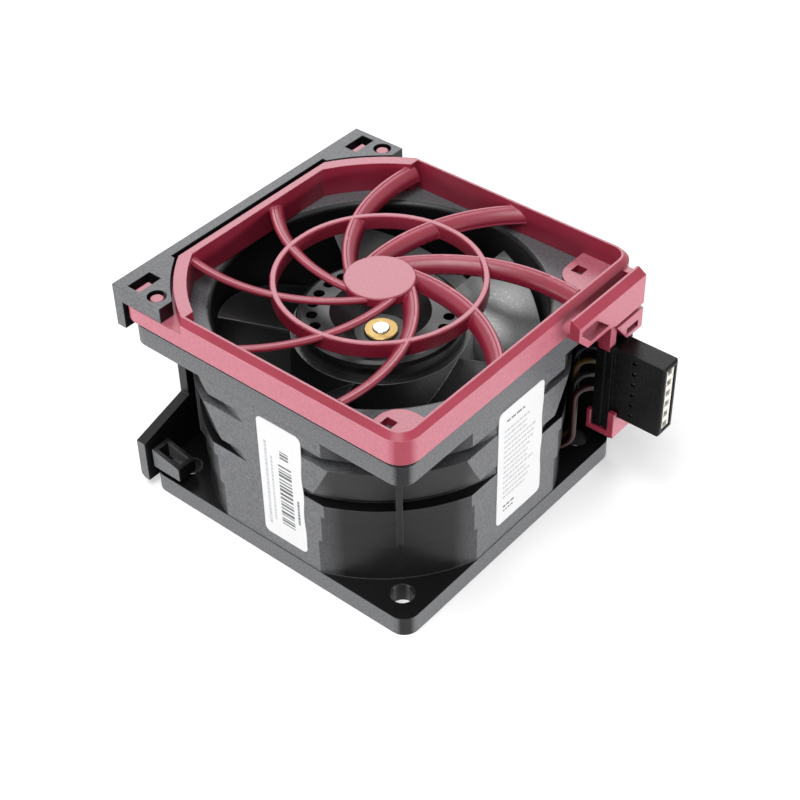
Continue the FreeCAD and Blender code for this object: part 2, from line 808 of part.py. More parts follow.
def foot_lugs():
    """Hollow ribbed lugs inside the flared foot, one above each outlet corner."""
    x_near, x_far = foot_lug_x
    y_low, y_high = foot_lug_y
    wall = foot_lug_wall
    high_near, high_far = foot_lug_high
    side = along_y([(x_near, foot_lug_low), (x_far, foot_lug_low), (x_far, high_far),
                    (x_near, high_near)], foot_lug_y)
    hollow = block((x_near + wall, x_far - wall), (y_low + wall, y_high - wall),
                   (foot_lug_low + wall, high_near + 1))
    middle = (y_low + y_high) / 2
    rib = block((foot_lug_rib_start, x_far - wall / 2), (middle - wall / 2, middle + wall / 2),
                (foot_lug_low, foot_lug_rib_high))
    neck = block((plate_inner_x - wall / 2, x_near + wall / 2), (y_low + foot_lug_neck, y_high),
                 (foot_lug_low, foot_lug_rib_high))
    lug = merged([side.cut(hollow), rib, neck])
    return [lug, mirrored_y(lug)]


# Connector

def contact_heights():
    first = connector_middle - contact_pitch * (contact_count - 1) / 2
    return [first + contact_pitch * i for i in range(contact_count)]


def connector_housing():
    base = block((connector_back, connector_face), flange_y, (flange_low, connector_high))
    body = block((connector_face - weld, connector_reach), body_y, (connector_low, connector_high))
    shell = base.fuse(body).removeSplitter()
    shell = shell.makeChamfer(fit * 2, edges_at_x(shell, connector_reach))
    recess = block((connector_back - 1, connector_back + lead_recess_depth),
                   (connector_y - lead_recess_half, connector_y + lead_recess_half),
                   (connector_low + lead_recess_margin, connector_high - lead_recess_margin))
    key = block((connector_back - 1, post_x_end + fit), (flange_y[0] - 1, post_y[1] + fit),
                (post_low - fit, connector_high + 1))
    groove_near, groove_far = connector_flange_groove
    line = block((connector_back + groove_near, connector_back + groove_far),
                 (flange_y[0] - 1, flange_y[0] + fit * 2), (flange_low - 1, connector_high + 1))
    inner_y = (body_y[0] + connector_wall, body_y[1] - connector_wall)
    mouth_low = connector_reach - insert_depth - insert_setback
    pocket = block((mouth_low, connector_reach + 1), inner_y,
                   (connector_low + connector_wall, connector_high - connector_wall))
    cuts = [recess, key, line, pocket]
    for z in contact_heights():
        slot_y = (connector_y - contact_width / 2, connector_y + contact_width / 2)
        slot_z = (z - contact_thickness / 2, z + contact_thickness / 2)
        cuts.append(block((connector_back, mouth_low + 1), slot_y, slot_z))
        cuts.append(block((connector_reach - contact_setback - fit, mouth_low + 1),
                          (connector_y - insert_hole / 2, connector_y + insert_hole / 2),
                          (z - insert_hole / 2, z + insert_hole / 2)))
        cuts.append(block((lance_reach, lance_reach + lance_window), (body_y[0] - 1, connector_y),
                          (z - lance_window / 2, z + lance_window / 2)))
    return shell.cut(cuts)


def edges_at_x(shape, x, tolerance=0.001):
    return [e for e in shape.Edges
            if abs(e.BoundBox.XMin - x) < tolerance and abs(e.BoundBox.XMax - x) < tolerance]


def contact_insert():
    wall = connector_wall + loose / 4
    front = connector_reach - insert_setback
    body = block((front - insert_depth, front), (body_y[0] + wall, body_y[1] - wall),
                 (connector_low + wall, connector_high - wall))
    hole = insert_hole / 2
    cuts = [block((front - insert_depth - 1, front + 1), (connector_y - hole, connector_y + hole),
                  (z - hole, z + hole)) for z in contact_heights()]
    return body.cut(cuts)


def connector_contacts():
    blades = []
    for z in contact_heights():
        blade = block((connector_back + lead_recess_depth, connector_reach - contact_setback),
                      (connector_y - contact_width / 2, connector_y + contact_width / 2),
                      (z - contact_thickness / 2, z + contact_thickness / 2))
        middle = lance_reach + lance_window / 2
        lance = block((middle - lance_size / 2, middle + lance_size / 2),
                      (body_y[0] + lance_sink, connector_y),
                      (z - lance_size / 2, z + lance_size / 2))
        blades.append(blade.fuse(lance).removeSplitter())
    return Part.makeCompound(blades)


def side_label_front():
    y = -barrel_flat
    return block(front_label_x, (y - label_thickness, y), front_label_z)


def side_label_right():
    return block((barrel_flat, barrel_flat + label_thickness), right_label_y, right_label_z)


# Motor: bearing tube, bearings, stator and electronics

def bearing_tube():
    ledge = bearing_radius - tube_ledge
    low, high = lower_bearing_low + bearing_width, upper_bearing_low
    return turned([(bearing_radius, base_top), (tube_radius, base_top), (tube_radius, tube_top),
                   (bearing_radius, tube_top), (bearing_radius, high), (ledge, high),
                   (ledge, low), (bearing_radius, low)])


def race_outer(low):
    race = ring(bearing_radius, race_radius, low, low + bearing_width)
    rims = edges_at_height(race, low) + edges_at_height(race, low + bearing_width)
    outer = [e for e in rims if abs(e.Curve.Radius - bearing_radius) < 0.01]
    return race.makeChamfer(fit, outer)


def race_inner(low):
    return ring(race_radius - running_clearance, shaft_radius, low, low + bearing_width)


def bearing_upper_outer():
    return race_outer(upper_bearing_low)


def bearing_lower_outer():
    return race_outer(lower_bearing_low)


def bearing_upper_inner():
    return race_inner(upper_bearing_low)


def bearing_lower_inner():
    return race_inner(lower_bearing_low)


def tooth_plan(low, high, bore, back, neck, tip_inner, tip_outer):
    """Nine-tooth star: a back ring, straight necks and arc-shaped tooth tips."""
    neck_box = block((back - weld, tip_inner + weld), (-neck / 2, neck / 2), (low, high))
    tips = ring(tip_outer, tip_inner, low, high)
    gap = block((tip_inner - 1, tip_outer + 1), (-tooth_gap / 2, tooth_gap / 2),
                (low - 1, high + 1))
    tips = tips.cut(around(gap, tooth_count, 180.0 / tooth_count))
    return merged([ring(back, bore, low, high), tips] + around(neck_box, tooth_count))


def stator_core():
    return tooth_plan(stack_base, stack_top, tube_radius, tube_radius + yoke_ring_wall,
                      tooth_neck, stack_radius - tooth_tip, stack_radius)


def insulator(low, high, lip_low, lip_high):
    plan = tooth_plan(low, high, tube_radius, tube_radius + yoke_ring_wall, tooth_neck,
                      stack_radius - tooth_tip, stack_radius - fit)
    lip = tooth_plan(lip_low, lip_high, tube_radius, tube_radius + insulator_thickness,
                     tooth_neck, stack_radius - tooth_tip + fit, stack_radius - fit)
    reach = stack_radius - tooth_tip + fit
    middle = ring(reach - fit, tube_radius + insulator_thickness + fit,
                  min(lip_low, lip_high) - 1, max(lip_low, lip_high) + 1)
    return merged([plan, lip.cut(middle)])


def stator_insulator_upper():
    low = stack_top
    high = low + insulator_thickness
    return insulator(low, high, high - 0.1, high + coil_crown)


def stator_insulator_lower():
    high = stack_base
    low = high - insulator_thickness
    return insulator(low, high, low - coil_crown, low + 0.1)


def stator_windings():
    inner = tube_radius + yoke_ring_wall + fit
    outer = stack_radius - tooth_tip - fit
    half_neck = tooth_neck / 2
    side = half_neck + coil_build
    low = stack_base - insulator_thickness
    high = stack_top + insulator_thickness
    crown = coil_crown * 0.8
    coil = block((inner, outer), (-side, side), (low - crown, high + crown))
    coil = coil.makeFillet(coil_build * 0.8, [e for e in coil.Edges if is_along_x(e)])
    coil = coil.cut(block((inner - 1, outer + 1), (-half_neck, half_neck), (low, high)))
    return Part.makeCompound(around(coil, tooth_count))


def circuit_board():
    board = ring(board_radius, tube_radius + loose, board_low, board_top)
    return board


def board_parts():
    """Driver chip, Hall sensor, capacitors and resistors on the two faces of the board."""
    parts = []
    for inner, outer, half_width, height, angle in board_items:
        z = (board_top, board_top + height) if height > 0 else (board_low + height, board_low)
        item = block((board_radius - inner, board_radius - outer), (-half_width, half_width), z)
        parts.append(turned_copy(item, angle))
    return Part.makeCompound(parts)


# Rotor

def blade_section(share):
    """Meridional section of the blade at a share of its wrap, as a closed polygon."""
    angle = math.radians(blade_lead_angle - blade_wrap * share)
    drop = (1 - blade_camber) * share + blade_camber * share * share
    swell = math.sin(math.pi * share) ** 0.5 if 0 < share < 1 else 0
    factor = blade_edge_share + (1 - blade_edge_share) * swell
    hub_z = blade_top_hub - blade_drop_hub * drop
    tip_z = blade_top_tip - blade_drop_tip * drop
    hub_t = blade_thickness_hub * factor / 2
    tip_t = blade_thickness_tip * factor / 2
    root = hub_top_diameter / 2 - hub_ledge
    points = [(root, hub_z - hub_t), (tip_radius, tip_z - tip_t),
              (tip_radius, tip_z + tip_t), (root, hub_z + hub_t)]
    corners_3d = [Vector(r * math.cos(angle), r * math.sin(angle), z) for r, z in points]
    return Part.makePolygon(corners_3d + corners_3d[:1])


def impeller_blade():
    shares = [i / (blade_stations - 1) for i in range(blade_stations)]
    return Part.makeLoft([blade_section(s) for s in shares], True, False)


def impeller():
    hub = turned([(yoke_radius, hub_top), (yoke_radius, yoke_low),
                  (yoke_radius - hub_ledge, yoke_low), (yoke_radius - hub_ledge, hub_low),
                  (hub_base_diameter / 2, hub_low), (hub_base_diameter / 2, yoke_low),
                  (hub_top_diameter / 2, hub_top)])
    blade = impeller_blade()
    blades = around(blade, blade_count)
    whole = merged([hub] + blades)
    return whole.cut(ring(yoke_radius, 0, yoke_low, yoke_face)).removeSplitter()


def rotor_yoke():
    face = yoke_face
    wall = yoke_wall
    r = yoke_radius
    dish = yoke_dish_diameter / 2
    floor = yoke_floor_diameter / 2
    s = yoke_shoulder
    bore = bushing_diameter / 2
    lean = s * (1 - math.sqrt(0.5))
    outline = [(r, yoke_low), (r, face - s), (r - lean, face - lean), (r - s, face), (dish, face),
               (floor, dish_face), (bore, dish_face), (bore, dish_face - wall),
               (floor + 0.3, dish_face - wall), (dish + 0.3, face - wall),
               (yoke_inner, face - wall), (yoke_inner, yoke_low)]
    vent = post(vent_diameter, vent_circle_diameter / 2, 0, face - 2 * wall, face + 1)
    return turned(outline).cut(around(vent, vent_count))


def rotor_magnet():
    middle = (stack_base + stack_top) / 2
    return ring(yoke_inner, magnet_inner, middle - magnet_length / 2, middle + magnet_length / 2)


def shaft():
    low = lower_bearing_low - clip_thickness - 2 * fit - shaft_tail
    groove = lower_bearing_low - clip_thickness - fit
    r = shaft_radius
    neck = r - clip_groove_depth
    rod = turned([(0, low), (r - fit, low), (r, low + fit), (r, groove), (neck, groove),
                  (neck, groove + clip_thickness), (r, groove + clip_thickness),
                  (r, shaft_top - fit), (r - fit, shaft_top), (0, shaft_top)])
    return rod


def retaining_clip():
    low = lower_bearing_low - clip_thickness - fit
    clip = ring(clip_diameter / 2, shaft_radius - clip_groove_depth, low, low + clip_thickness)
    mouth = block((0, clip_diameter), (-clip_mouth / 2, clip_mouth / 2), (low - 1, low + 2))
    return clip.cut(mouth)


def brass_bushing():
    r = bushing_diameter / 2
    collar = bushing_collar_diameter / 2
    seat = dish_face - yoke_wall
    return turned([(shaft_radius, bushing_low), (collar, bushing_low), (collar, seat), (r, seat),
                   (r, bushing_top - fit), (r - fit, bushing_top), (shaft_radius, bushing_top)])


def preload_spring():
    low = tube_top + spring_wire / 2
    height = bushing_low - spring_wire / 2 - low
    mean = shaft_radius + spring_wire
    path = Part.makeHelix(height / spring_turns, height, mean)
    path.translate(Vector(0, 0, low))
    edge = path.Edges[0]
    section = Part.Wire(Part.makeCircle(spring_wire / 2, edge.valueAt(edge.FirstParameter),
                                        edge.tangentAt(edge.FirstParameter)))
    return Part.Wire(path.Edges).makePipeShell([section], True, True)


# Leads from the board, out through the channel and up the barrel to the connector

def lead(index):
    offset = (index - (lead_count - 1) / 2) * lead_pitch
    end_z = contact_heights()[index + 1]
    out = Vector(math.cos(lead_direction), math.sin(lead_direction), 0)
    side = Vector(-out.y, out.x, 0) * offset
    start = side + out * lead_start_radius + Vector(0, 0, lead_level)
    turn_low = side + out * lead_rise_radius + Vector(0, 0, lead_level)
    turn_high = side + out * lead_rise_radius + Vector(0, 0, end_z)
    entry = Vector(connector_back + lead_recess_depth, connector_y + offset * lead_gather, end_z)
    end = entry + (entry - turn_high).normalize() * lead_diameter
    path = bent_path([start, turn_low, turn_high, end], lead_bend)
    section = Part.Wire(Part.makeCircle(lead_diameter / 2, start, out))
    tube = path.makePipeShell([section], True, False)
    length = sum(e.Length for e in path.Edges)
    expected = math.pi * lead_diameter ** 2 / 4 * length
    print("lead", index, "bend", lead_bend, "length", round(length, 2),
          "volume ratio", round(abs(tube.Volume) / expected, 4))
    limit = block((connector_back + lead_recess_depth, connector_reach), (0, half), (0, half * 2))
    return tube.cut(limit)


def bent_path(points, radius):
    edges = []
    last = points[0]
    for before, corner, after in zip(points, points[1:], points[2:]):
        back = (before - corner).normalize()
        ahead = (after - corner).normalize()
        turn = math.pi - back.getAngle(ahead)
        trim = radius * math.tan(turn / 2)
        first = corner + back * trim
        second = corner + ahead * trim
        inward = (back + ahead).normalize()
        middle = corner + inward * (radius / math.cos(turn / 2) - radius)
        edges.append(Part.LineSegment(last, first).toShape())
        edges.append(Part.Arc(first, middle, second).toShape())
        last = second
    edges.append(Part.LineSegment(last, points[-1]).toShape())
    return Part.Wire(edges)


def lead_power():
    return lead(0)


def lead_ground():
    return lead(1)


def lead_tach():
    return lead(2)


def lead_pwm():
    return lead(3)


# Export

pieces = (fan_frame, inlet_guard, handle_plate, connector_housing, contact_insert,
          connector_contacts, side_label_front, side_label_right, bearing_tube,
          bearing_upper_outer, bearing_lower_outer, stator_core, stator_insulator_upper,
          stator_insulator_lower, stator_windings, circuit_board, board_parts, lead_power,
          lead_ground, lead_tach, lead_pwm, impeller, rotor_yoke, rotor_magnet, shaft,
          brass_bushing, bearing_upper_inner, bearing_lower_inner, preload_spring,
          retaining_clip)

os.makedirs("parts", exist_ok=True)
for piece in pieces:
    shape = piece()
    name = piece.__name__
    print(name, len(shape.Solids), "solids", round(shape.Volume, 1), "mm3", shape.isValid())
    shape.exportStep("parts/" + name + ".step")
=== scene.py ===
import math

import bpy
import numpy as np
from mathutils import Matrix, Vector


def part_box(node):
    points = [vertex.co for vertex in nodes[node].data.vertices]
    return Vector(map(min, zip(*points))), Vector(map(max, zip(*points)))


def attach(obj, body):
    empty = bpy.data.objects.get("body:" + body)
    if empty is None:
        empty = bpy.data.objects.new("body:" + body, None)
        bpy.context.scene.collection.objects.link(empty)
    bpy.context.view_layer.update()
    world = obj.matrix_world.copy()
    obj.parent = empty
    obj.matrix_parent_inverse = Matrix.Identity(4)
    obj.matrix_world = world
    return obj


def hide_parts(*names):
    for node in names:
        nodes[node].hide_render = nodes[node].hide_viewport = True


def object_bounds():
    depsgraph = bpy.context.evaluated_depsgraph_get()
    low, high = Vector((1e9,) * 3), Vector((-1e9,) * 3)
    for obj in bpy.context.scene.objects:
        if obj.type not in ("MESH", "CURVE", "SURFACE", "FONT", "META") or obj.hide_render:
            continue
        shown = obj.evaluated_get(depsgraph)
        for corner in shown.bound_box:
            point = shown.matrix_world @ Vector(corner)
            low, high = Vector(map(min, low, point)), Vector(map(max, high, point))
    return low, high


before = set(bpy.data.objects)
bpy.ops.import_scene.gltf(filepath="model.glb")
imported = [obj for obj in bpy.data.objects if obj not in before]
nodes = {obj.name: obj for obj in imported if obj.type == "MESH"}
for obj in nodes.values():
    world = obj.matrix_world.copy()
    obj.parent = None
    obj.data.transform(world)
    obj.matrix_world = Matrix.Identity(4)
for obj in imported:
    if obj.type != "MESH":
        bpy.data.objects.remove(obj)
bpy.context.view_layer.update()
print("frame loaded:", len(nodes), "nodes")


def hexToLinear(code):
    # sRGB hex to linear: divide by 12.92 when dark, else ((c + 0.055) / 1.055) to the power 2.4
    values = [int(code[i:i + 2], 16) / 255 for i in (1, 3, 5)]
    return [v / 12.92 if v <= 0.04045 else ((v + 0.055) / 1.055) ** 2.4 for v in values] + [1.0]


def addNode(tree, kind, settings=None, links=None):
    # one node, its attributes and input values by name, and its inputs joined to other outputs
    node = tree.nodes.new(kind)
    for key, value in (settings or {}).items():
        if isinstance(key, str) and hasattr(node, key):
            setattr(node, key, value)
        else:
            node.inputs[key].default_value = value
    for key, source in (links or {}).items():
        tree.links.new(source, node.inputs[key])
    return node


def newMaterial(name):
    # a Principled material, with the Object coordinates that its patterns read
    material = bpy.data.materials.new(name)
    material.use_nodes = True
    tree = material.node_tree
    tree.nodes.clear()
    place = addNode(tree, "ShaderNodeTexCoord")
    shader = addNode(tree, "ShaderNodeBsdfPrincipled")
    addNode(tree, "ShaderNodeOutputMaterial", None, {"Surface": shader.outputs["BSDF"]})
    return material, tree, place.outputs["Object"], shader


def perMetre(millimetres):
    # texture scale for a feature of that size, as coordinates are in metres
    return 1000.0 / millimetres


def blendColours(tree, factor, first, second):
    # a ramp from the first colour to the second
    ramp = addNode(tree, "ShaderNodeValToRGB", None, {"Fac": factor})
    ramp.color_ramp.elements[0].color = hexToLinear(first)
    ramp.color_ramp.elements[1].color = hexToLinear(second)
    return ramp


mouldedPlastic = {
    "edgeRadius": 0.00022,        # rounding that a mould leaves on its outer edges
    "edgeSamples": 4,
    "grainHeight": 0.000025,
    "flowSize": 14,               # millimetres between flow marks
    "glossPlay": 0.06,            # roughness above and below the plastic's own
    "rubbedEdge": (0.995, 0.90),  # cosine of an edge's rounding where wear begins, and is full
    "rubbedMost": 0.55,
    "flatFacing": (0.88, 0.99),   # cosine of a face's turn from an axis: not flat, and fully flat
    "outerReach": 0.025,          # faces further than this from the centre are outer faces
}


def maskSheenFlats(tree, spot):
    # 1 on flat outer faces, less on curved ones, 0 inside: the faces that get a painted sheen,
    # pale where they catch the lamps, over their textured mould finish
    turn = addNode(tree, "ShaderNodeTexCoord").outputs["Normal"]
    parts = addNode(tree, "ShaderNodeSeparateXYZ", None, {"Vector": turn})
    sizes = [addNode(tree, "ShaderNodeMath", {"operation": "ABSOLUTE"},
                     {0: parts.outputs[axis]}).outputs["Value"] for axis in "XYZ"]
    across = addNode(tree, "ShaderNodeMath", {"operation": "MAXIMUM"}, {0: sizes[0], 1: sizes[1]})
    most = addNode(tree, "ShaderNodeMath", {"operation": "MAXIMUM"},
                   {0: across.outputs["Value"], 1: sizes[2]})
    least, full = mouldedPlastic["flatFacing"]
    flat = addNode(tree, "ShaderNodeMapRange", {"From Min": least, "From Max": full},
                   {"Value": most.outputs["Value"]})
    reach = addNode(tree, "ShaderNodeVectorMath", {"operation": "DOT_PRODUCT"}, {0: turn, 1: spot})
    outer = addNode(tree, "ShaderNodeMath",
                    {"operation": "GREATER_THAN", 1: mouldedPlastic["outerReach"]},
                    {0: reach.outputs["Value"]})
    both = addNode(tree, "ShaderNodeMath", {"operation": "MULTIPLY"},
                   {0: flat.outputs["Result"], 1: outer.outputs["Value"]})
    return both.outputs["Value"]


def makeMoulded(name, base, flow, wearAndGlint, rough, grain, glintSize, index, bump=0.5, sparkle=0.0,
                flatSheenAndGrain=None, specular=0.5):
    # injection-moulded plastic: spark-eroded grain in the bump, faint flow marks in the colour,
    # a paler line where edges have rubbed, pale flecks that are painted glints, and a roughness
    # that varies with the grain; the last pair of colours paints a sheen on flat outer faces,
    # pale where they catch the lamps, with the grain playing in it; grain and the glint size are
    # sizes in millimetres, coarser than real ones so that they show
    material, tree, spot, shader = newMaterial(name)
    shader.inputs["Specular IOR Level"].default_value = specular
    shader.inputs["IOR"].default_value = index
    fine = addNode(tree, "ShaderNodeTexNoise", {"Scale": perMetre(grain), "Detail": 3.0,
                   "Roughness": 0.6}, {"Vector": spot})
    cloud = addNode(tree, "ShaderNodeTexNoise", {"Scale": perMetre(mouldedPlastic["flowSize"]),
                    "Detail": 4.0, "Distortion": 0.8}, {"Vector": spot})
    glintCells = addNode(tree, "ShaderNodeTexVoronoi", {"Scale": perMetre(glintSize)}, {"Vector": spot})
    tone = blendColours(tree, cloud.outputs["Fac"], base, flow)
    tone.color_ramp.elements[0].position = 0.35
    tone.color_ramp.elements[1].position = 0.7
    skin = tone.outputs["Color"]
    # flat outer faces: a painted sheen, pale colours where they catch the lamps, with the grain in
    # them
    if flatSheenAndGrain:
        sheenRamp = blendColours(tree, fine.outputs["Fac"], flatSheenAndGrain[0], flatSheenAndGrain[1])
        sheenRamp.color_ramp.elements[0].position = 0.36
        sheenRamp.color_ramp.elements[1].position = 0.64
        skin = addNode(tree, "ShaderNodeMix", {"data_type": "RGBA"},
                       {0: maskSheenFlats(tree, spot), 6: skin,
                        7: sheenRamp.outputs["Color"]}).outputs[2]
    rounded = addNode(tree, "ShaderNodeBevel", {"samples": mouldedPlastic["edgeSamples"],
                     "Radius": mouldedPlastic["edgeRadius"]})
    surface = addNode(tree, "ShaderNodeNewGeometry")
    meet = addNode(tree, "ShaderNodeVectorMath", {"operation": "DOT_PRODUCT"},
                   {0: rounded.outputs["Normal"], 1: surface.outputs["Normal"]})
    begin, end = mouldedPlastic["rubbedEdge"]
    edge = addNode(tree, "ShaderNodeMapRange", {"From Min": begin, "From Max": end,
                   "To Min": 0.0, "To Max": mouldedPlastic["rubbedMost"]},
                   {"Value": meet.outputs["Value"]})
    patch = addNode(tree, "ShaderNodeMath", {"operation": "MULTIPLY"},
                    {0: edge.outputs["Result"], 1: cloud.outputs["Fac"]})
    wear = addNode(tree, "ShaderNodeMix", {"data_type": "RGBA", 7: hexToLinear(wearAndGlint)},
                   {0: patch.outputs["Value"], 6: skin})
    # pale flecks in the wear colour: painted glints, the shine of glass fibres, as strong as
    # sparkle asks
    glintAmount = addNode(tree, "ShaderNodeMapRange", {"From Min": 0.12, "From Max": 0.0,
                    "To Min": 0.0, "To Max": sparkle}, {"Value": glintCells.outputs["Distance"]})
    body = addNode(tree, "ShaderNodeMix", {"data_type": "RGBA", 7: hexToLinear(wearAndGlint)},
                   {0: glintAmount.outputs["Result"], 6: wear.outputs[2]})
    play = mouldedPlastic["glossPlay"]
    gloss = addNode(tree, "ShaderNodeMapRange", {"From Min": 0.3, "From Max": 0.7,
                    "To Min": rough - play, "To Max": rough + play},
                    {"Value": fine.outputs["Fac"]})
    relief = addNode(tree, "ShaderNodeBump", {"Strength": bump,
                     "Distance": mouldedPlastic["grainHeight"]},
                     {"Height": fine.outputs["Fac"], "Normal": rounded.outputs["Normal"]})
    tree.links.new(body.outputs[2], shader.inputs["Base Color"])
    tree.links.new(gloss.outputs["Result"], shader.inputs["Roughness"])
    tree.links.new(relief.outputs["Normal"], shader.inputs["Normal"])
    return material


# glass-filled PBT: near-black with a satin sheen; flat outer faces painted mid grey as a painted
# sheen from the lamps, over the mould's texture, and a few pale flecks as painted glints
blackPbt = makeMoulded("glassFilledPbtMoulded", "#09090A", "#111113", "#5A5A5E",
                       0.36, 0.40, 0.8, 1.55, 0.35, 0.08, ("#505154", "#6C6D70"), 0.3)
# ABS blend coloured port wine: saturated red body under a semi-gloss skin; flat outer faces
# painted pale pink as the white sheen they catch from the lamps
winePlastic = makeMoulded("portWineAbsMoulded", "#8A1D33", "#982A42", "#D48898",
                          0.34, 0.6, 1.4, 1.58, 0.22, 0.0, ("#B05E6E", "#BC6A79"))
# impeller PBT, filled with short glass: the shine of its fibres is painted as pale flecks all
# over, a coarse painted glitter
impellerPbt = makeMoulded("impellerPbtMoulded", "#0D0E10", "#16171A", "#9A9CA2",
                          0.32, 0.38, 0.34, 2.0, 0.5, 0.22)
# connector nylon: fine matt skin, nearly grainless and deep black
connectorNylon = makeMoulded("connectorNylonMoulded", "#060607", "#0B0B0C", "#3E3E42",
                             0.30, 0.35, 0.8, 1.50, 0.2, 0.0, None, 0.15)
# unfilled PBT of the contact carrier: milky off-white
carrierPbt = makeMoulded("contactCarrierPbt", "#E9E6DE", "#DEDACF", "#F4F2EC",
                         0.42, 0.5, 0.9, 1.50, 0.15)
# natural nylon of the stator insulators: waxy and slightly yellow
bobbinNylon = makeMoulded("bobbinNylonMoulded", "#CFC7AC", "#DAD3BB", "#EAE5D4",
                          0.45, 0.5, 0.9, 1.50, 0.2)
print("moulded plastics made")

metalFinish = {
    "cloudSize": 3,    # millimetres between patches of polish
    "waveUnit": 6.28,  # sets a wave texture's lines about two pitches apart
    "lineDepth": 0.00001,
}


def makeMetal(name, base, tint, rough, pitch, bump, rings=True):
    # turned or rolled metal: fine tool lines around the axis or along the sheet, and a cloudy
    # polish; the lines are drawn coarser than real ones so that they show
    material, tree, spot, shader = newMaterial(name)
    shader.inputs["Metallic"].default_value = 1.0
    lines = addNode(tree, "ShaderNodeTexWave",
                    {"wave_type": "RINGS" if rings else "BANDS", "rings_direction": "Z",
                     "bands_direction": "Z", "Scale": perMetre(pitch) / metalFinish["waveUnit"],
                     "Distortion": 1.5, "Detail": 2.0}, {"Vector": spot})
    cloud = addNode(tree, "ShaderNodeTexNoise", {"Scale": perMetre(metalFinish["cloudSize"]),
                    "Detail": 5.0}, {"Vector": spot})
    tone = blendColours(tree, cloud.outputs["Fac"], base, tint)
    gloss = addNode(tree, "ShaderNodeMapRange", {"To Min": rough * 0.7, "To Max": rough * 1.4},
                    {"Value": cloud.outputs["Fac"]})
    relief = addNode(tree, "ShaderNodeBump", {"Strength": bump,
                     "Distance": metalFinish["lineDepth"]}, {"Height": lines.outputs["Fac"]})
    tree.links.new(tone.outputs["Color"], shader.inputs["Base Color"])
    tree.links.new(gloss.outputs["Result"], shader.inputs["Roughness"])
    tree.links.new(relief.outputs["Normal"], shader.inputs["Normal"])
    return material


# turned brass, bright from the tool: warm yellow with ring-shaped lines
turnedBrass = makeMetal("turnedBrass", "#A9864C", "#CDB27C", 0.30, 0.12, 0.5)
# ground steel of shaft and races: cool and almost mirror-smooth
groundSteel = makeMetal("groundSteel", "#B9BCC0", "#D5D7DA", 0.16, 0.08, 0.2)
# laminated silicon steel in sheets of 0.35 mm: dull grey edges with a line at every second one
laminatedSteel = makeMetal("laminatedSteel", "#7E8084", "#96989C", 0.42, 0.35, 0.9, False)
# spring wire: drawn and slightly dark
springWire = makeMetal("drawnSpringWire", "#8F9195", "#A9ABAF", 0.28, 0.1, 0.2)
# tin-plated bronze of the contacts: soft silver
tinPlate = makeMetal("tinPlatedBronze", "#C9C8C2", "#DEDDD8", 0.30, 0.2, 0.2)


# a wire band's colours: painted shade in the hollow between turns, painted highlight on the crest
coil = {"wire": 0.25, "hollow": "#7A3216", "litCrest": "#C86B32", "wireDepth": 0.00005,
        "metallic": 0.85, "roughness": 0.3, "lacquer": 0.6, "lacquerRoughness": 0.12}


def makeCopperCoil():
    # enamelled copper wire laid side by side: amber lacquer over bright metal, with a band
    # for every two turns of wire, painted dark as shade in its hollow and light as a highlight on
    # its crest
    material, tree, spot, shader = newMaterial("enamelledCopperWire")
    shader.inputs["Metallic"].default_value = coil["metallic"]
    shader.inputs["Roughness"].default_value = coil["roughness"]
    shader.inputs["Coat Weight"].default_value = coil["lacquer"]
    shader.inputs["Coat Roughness"].default_value = coil["lacquerRoughness"]
    turns = addNode(tree, "ShaderNodeTexWave", {"wave_type": "BANDS", "bands_direction": "Z",
                    "Scale": perMetre(coil["wire"]) / metalFinish["waveUnit"],
                    "Distortion": 0.6}, {"Vector": spot})
    tone = blendColours(tree, turns.outputs["Fac"], coil["hollow"], coil["litCrest"])
    relief = addNode(tree, "ShaderNodeBump", {"Strength": 0.8, "Distance": coil["wireDepth"]},
                     {"Height": turns.outputs["Fac"]})
    tree.links.new(tone.outputs["Color"], shader.inputs["Base Color"])
    tree.links.new(relief.outputs["Normal"], shader.inputs["Normal"])
    return material


yokeCoat = {"index": 1.62, "peelSize": 0.9, "peelDepth": 0.00002, "dustSize": 0.25,
            "clean": "#0B0C0D", "dusty": "#2E2F32", "smoothest": 0.24, "roughest": 0.44}


def makeCoatedYoke():
    # deep-drawn steel with a baked black coat: smooth and dark, with a tight highlight at the
    # shoulder and a trace of grey dust
    material, tree, spot, shader = newMaterial("blackCoatedSteel")
    shader.inputs["IOR"].default_value = yokeCoat["index"]
    peel = addNode(tree, "ShaderNodeTexNoise", {"Scale": perMetre(yokeCoat["peelSize"]),
                   "Detail": 2.0}, {"Vector": spot})
    dust = addNode(tree, "ShaderNodeTexNoise", {"Scale": perMetre(yokeCoat["dustSize"]),
                   "Detail": 3.0}, {"Vector": spot})
    tone = blendColours(tree, dust.outputs["Fac"], yokeCoat["clean"], yokeCoat["dusty"])
    tone.color_ramp.elements[0].position = 0.45
    tone.color_ramp.elements[1].position = 0.8
    gloss = addNode(tree, "ShaderNodeMapRange", {"To Min": yokeCoat["smoothest"],
                    "To Max": yokeCoat["roughest"]}, {"Value": dust.outputs["Fac"]})
    relief = addNode(tree, "ShaderNodeBump", {"Strength": 0.3,
                     "Distance": yokeCoat["peelDepth"]}, {"Height": peel.outputs["Fac"]})
    tree.links.new(tone.outputs["Color"], shader.inputs["Base Color"])
    tree.links.new(gloss.outputs["Result"], shader.inputs["Roughness"])
    tree.links.new(relief.outputs["Normal"], shader.inputs["Normal"])
    return material


copperWire = makeCopperCoil()
coatedSteel = makeCoatedYoke()
print("metals made")

boardMask = {"trackSpacing": 2.2, "trackEdge": (0.08, 0.12), "depth": 0.00003,
             "bare": "#2F7A48", "covered": "#17472A", "roughness": 0.28}


